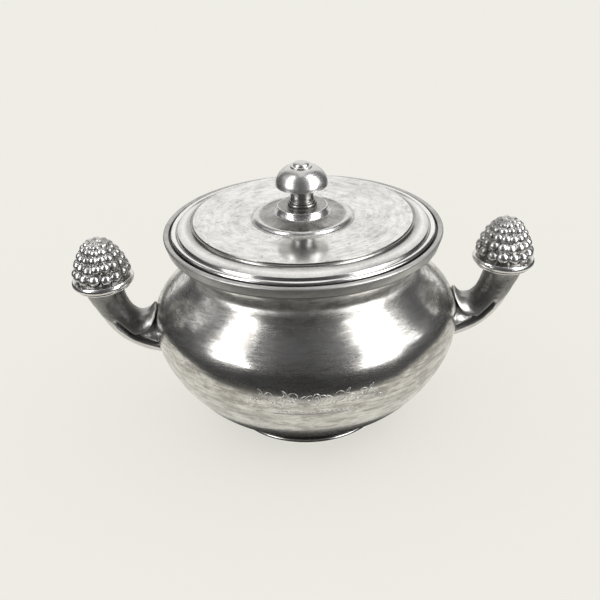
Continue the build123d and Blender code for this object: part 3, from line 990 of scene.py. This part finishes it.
place = Matrix.Translation(Vector(KNOP) * MM) @ Matrix.Rotation(LEAN, 4, "Y")
mirrored = Matrix.Diagonal((-1, 1, 1, 1)) @ place
collar = [(1.55, COLLAR_TOP), (1.55, HORN_TOP)]
collar += arc((10.0, HORN_TOP), (11.0, -2.0), (11.0, -1.4))
collar += arc((11.0, -1.4), (12.4, 0.2), (11.8, COLLAR_TOP))
for side, name, matrix, horn_seed, acorn_seed in (
    (1, "right", place, 11, 5),
    (-1, "left", mirrored, 31, 8),
):
    horn(side, name, horn_seed)
    acorn(side, name, place, acorn_seed)
    lathe(
        name + "_collar", collar, "bowl", collar_silver, [name + "_horn_collar"],
        soft=0.15, segments=224, place=matrix, flip=side < 0,
    )

# ---------------------------------------------------------------- engraved scroll
SCROLL_Z = 37.6
SCROLL_END = 25
VINE_RISE = 1.9
VINE_WAVE = 9.0
CURL_STEPS = 22
CURL_SHRINK = 0.82
FRINGE_Z = 30.4
FRINGE_END = 17
BELLY_TURN = 58.0  # radius that turns a distance along the front into an angle
PROUD = 0.02
LINE_RADIUS = 0.00013


def on_belly(along, height):
    """A point on the bowl's outside, this far round from the front in millimetres."""
    r = float(belly_radius(height)) + PROUD
    turn = along / BELLY_TURN
    return (r * math.sin(turn) * MM, -r * math.cos(turn) * MM, height * MM)


def curl(x, z, radius, first, turns, way):
    """A spiral that tightens towards its middle."""
    made = []
    for i in range(CURL_STEPS + 1):
        share = i / CURL_STEPS
        r = radius * (1 - CURL_SHRINK * share)
        a = first + way * turns * 2 * math.pi * share
        made.append((x + r * math.cos(a), z + r * math.sin(a)))
    return made


def oval(wide, tall, steps):
    turn = np.linspace(0, 2 * math.pi, steps)
    return [(wide * math.sin(t), SCROLL_Z + tall * math.cos(t)) for t in turn]


half = []
vine = np.linspace(1.6, SCROLL_END, 60)
half.append([(s, SCROLL_Z + VINE_RISE * math.sin(s * 2 * math.pi / VINE_WAVE)) for s in vine])
for i, s in enumerate((3.8, 8.3, 12.8, 17.3, 21.8)):
    turning = 1 if i % 2 else -1
    start = -turning * math.pi / 2
    half.append(curl(s, SCROLL_Z + turning * 1.2, 2.9 - 0.22 * i, start, 1.3, turning))
    leaf = [(2.2, 1.0), (3.2, 3.4), (3.9, 4.0), (3.4, 2.0)]
    half.append(spline([(s + a, SCROLL_Z + turning * b) for a, b in leaf], steps=10))
for s in np.arange(0.9, FRINGE_END - 1, 1.8):
    half.append(arc((s - 0.8, FRINGE_Z), (s, FRINGE_Z + 0.9), (s + 0.8, FRINGE_Z)))
half.append([(s, FRINGE_Z - 0.7 + 0.012 * s) for s in np.linspace(0, FRINGE_END, 20)])
strokes = [[(way * s, z) for s, z in stroke] for way in (-1, 1) for stroke in half]
strokes += [oval(1.5, 2.6, 25), oval(0.7, 1.2, 17)]

lines = bpy.data.curves.new("front_scroll", "CURVE")
lines.dimensions = "3D"
lines.bevel_depth = LINE_RADIUS
lines.bevel_resolution = 1
for stroke in strokes:
    made = lines.splines.new("POLY")
    made.points.add(len(stroke) - 1)
    for point, (s, z) in zip(made.points, stroke):
        point.co = (*on_belly(s, z), 1)
scroll_silver = metal(
    "scroll_silver",
    bright=(0.85, 0.84, 0.82),
    tarnish_and_shade=(0.4, 0.39, 0.37),
    rough=0.45,
    mottled=0.8,
    streaky=0.4,
)
lines.materials.append(scroll_silver)
scroll = bpy.data.objects.new("front_scroll", lines)
bpy.context.scene.collection.objects.link(scroll)
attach(scroll, "bowl")

# ---------------------------------------------------------------- studio
PALE = (0.863, 0.847, 0.783)
WHITE = (1, 1, 1)
CREAM = (1, 0.99, 0.97)
TO_CAMERA = -3.0  # azimuth of the camera in degrees, from -Y towards +X
TARGET = Vector((0, 0, 0.045))  # middle of the bowl's height, where the camera is aimed
FLOOR_RADIUS = 9
PAINTED_SHADOW_RADIUS = 0.041
# the floor, the painted shadow under the bowl and the surround lie this far from the table's plane
FLOOR_Z = -0.00002
PAINTED_SHADOW_Z = 0.0003
SURROUND_Z = 0.0004


def emission(nodes, colour, strength):
    light = nodes.tree.nodes.new("ShaderNodeEmission")
    light.inputs["Color"].default_value = (*colour, 1)
    light.inputs["Strength"].default_value = strength
    return light


def glow(name, colour, strength):
    n = Nodes(name)
    n.tree.links.new(emission(n, colour, strength).outputs[0], n.out.inputs["Surface"])
    return n.material


def stage_mesh(name, verts, faces, material):
    mesh = bpy.data.meshes.new(name)
    mesh.from_pydata(verts, [], faces)
    mesh.materials.append(material)
    thing = bpy.data.objects.new(name, mesh)
    bpy.context.scene.collection.objects.link(thing)
    return thing


def stage_disc(name, radius, z, sides, material):
    turn = [2 * math.pi * k / sides for k in range(sides)]
    verts = [(radius * math.cos(t), radius * math.sin(t), z) for t in turn]
    return stage_mesh(name, verts, [tuple(range(sides))], material)


def only_reflected(thing):
    thing.visible_camera = False
    thing.visible_diffuse = False
    thing.visible_shadow = False
    thing.visible_transmission = False
    thing.visible_volume_scatter = False


def card(name, azimuths, elevations, colour, strength, distance, above=None):
    """A curved card that only reflections see. Its azimuths start at the camera's side and
    grow towards +X, and above gives those of its top edge where they differ."""
    above = above or azimuths
    across, tall = 24, 12
    verts = []
    for i in range(tall + 1):
        e = math.radians(elevations[0] + (elevations[1] - elevations[0]) * i / tall)
        first, last = (b + (t - b) * i / tall for b, t in zip(azimuths, above))
        for k in range(across + 1):
            a = math.radians(first + (last - first) * k / across + TO_CAMERA)
            way = Vector((math.sin(a) * math.cos(e), -math.cos(a) * math.cos(e), math.sin(e)))
            verts.append(tuple(way * distance + TARGET))
    w = across + 1
    corners = [i * w + k for i in range(tall) for k in range(across)]
    faces = [(v, v + 1, v + w + 1, v + w) for v in corners]
    only_reflected(stage_mesh(name, verts, faces, glow(name, colour, strength)))


card("card_left_window", (-68, -40), (7, 68), WHITE, 5.5, 2.0, above=(-92, -70))
card("card_left_side", (-116, -102), (26, 46), WHITE, 0.9, 2.0)
card("card_right_window", (36, 62), (-3, 68), WHITE, 5.5, 2.0, above=(58, 102))
card("card_right_side", (76, 94), (12, 46), WHITE, 1.6, 2.2)
card("card_room", (-142, 142), (-4, 79), (0.95, 0.95, 1.0), 0.065, 3.0)
card("card_back", (142, 218), (-2, 90), CREAM, 1.0, 3.0)
card("card_ceiling", (-142, 142), (79, 90), CREAM, 0.95, 3.0)

# What the lower belly reflects: the pale floor close by, and a dark surround further out.
# The table gives the azimuth in degrees and the distance in millimetres where it begins.
SURROUND_STARTS = [
    (-180, 900),
    (-150, 420),
    (-128, 240),
    (-85, 170),
    (-55, 104),
    (0, 84),
    (55, 104),
    (85, 170),
    (128, 240),
    (150, 420),
    (180, 900),
]
SURROUND_END = 2500
angles = np.linspace(-180, 180, 181)
verts = []
for a in angles:
    turn = math.radians(a + TO_CAMERA)
    for far in (read_off(SURROUND_STARTS, a), SURROUND_END):
        verts.append((math.sin(turn) * far * MM, -math.cos(turn) * far * MM, SURROUND_Z))
faces = [(2 * k, 2 * k + 2, 2 * k + 3, 2 * k + 1) for k in range(len(angles) - 1)]
dim = glow("card_surround", (0.95, 0.96, 1.0), 0.035)
only_reflected(stage_mesh("card_surround", verts, faces, dim))

# the floor's shadow under the bowl, painted as a dark disc that only reflections see
dim = glow("card_painted_shadow", WHITE, 0.01)
only_reflected(stage_disc("card_painted_shadow", PAINTED_SHADOW_RADIUS, PAINTED_SHADOW_Z, 64, dim))

n = Nodes("floor_paper")
paper = n.tree.nodes.new("ShaderNodeBsdfDiffuse")
paper.inputs["Color"].default_value = (0.28, 0.28, 0.28, 1)
both = n.tree.nodes.new("ShaderNodeAddShader")
n.tree.links.new(emission(n, PALE, 0.72).outputs[0], both.inputs[0])
n.tree.links.new(paper.outputs[0], both.inputs[1])
n.tree.links.new(both.outputs[0], n.out.inputs["Surface"])
stage_disc("studio_floor", FLOOR_RADIUS, FLOOR_Z, 96, n.material)

world = bpy.data.worlds.new("studio")
bpy.context.scene.world = world
world.use_nodes = True
world.node_tree.nodes["Background"].inputs["Color"].default_value = (*PALE, 1)
world.node_tree.nodes["Background"].inputs["Strength"].default_value = 1.0
bpy.context.scene.view_settings.view_transform = "Standard"

# ---------------------------------------------------------------- camera
FRAME = 600  # width and height of the picture, in its own pixels
FOCAL = 1628.0  # in the same pixels
SENSOR = 36
DISTANCE = 0.65
ELEVATION = math.radians(26.89)
AZIMUTH = math.radians(TO_CAMERA)
ROLL = math.radians(1.76)
AIM = np.array([5.5, -9.3, FOCAL])  # where the target lies in the picture: right, up, forward

back = Vector(
    (
        math.sin(AZIMUTH) * math.cos(ELEVATION),
        -math.cos(AZIMUTH) * math.cos(ELEVATION),
        math.sin(ELEVATION),
    )
)
forward = -back
right = forward.cross(Vector((0, 0, 1))).normalized()
up = right.cross(forward)
roll = np.array(
    [[math.cos(ROLL), -math.sin(ROLL), 0], [math.sin(ROLL), math.cos(ROLL), 0], [0, 0, 1]]
)
# the smallest turn that brings the target from the picture's centre to its place
aim = AIM / np.linalg.norm(AIM)
v = np.cross([0, 0, 1], aim)
k = np.array([[0, -v[2], v[1]], [v[2], 0, -v[0]], [-v[1], v[0], 0]])
pan = np.eye(3) + k + k @ k / (1 + aim[2])
axes = pan @ roll @ np.array([right, up, forward])
stand = np.array([axes[0], axes[1], -axes[2]]).T

camera = bpy.data.objects.new("camera", bpy.data.cameras.new("camera"))
bpy.context.scene.collection.objects.link(camera)
camera.data.sensor_width = SENSOR
camera.data.lens = FOCAL / FRAME * SENSOR
camera.data.clip_start = 0.01
camera.data.clip_end = 50
camera.matrix_world = (
    Matrix.Translation(TARGET + back * DISTANCE) @ Matrix(stand.tolist()).to_4x4()
)
bpy.context.scene.camera = camera
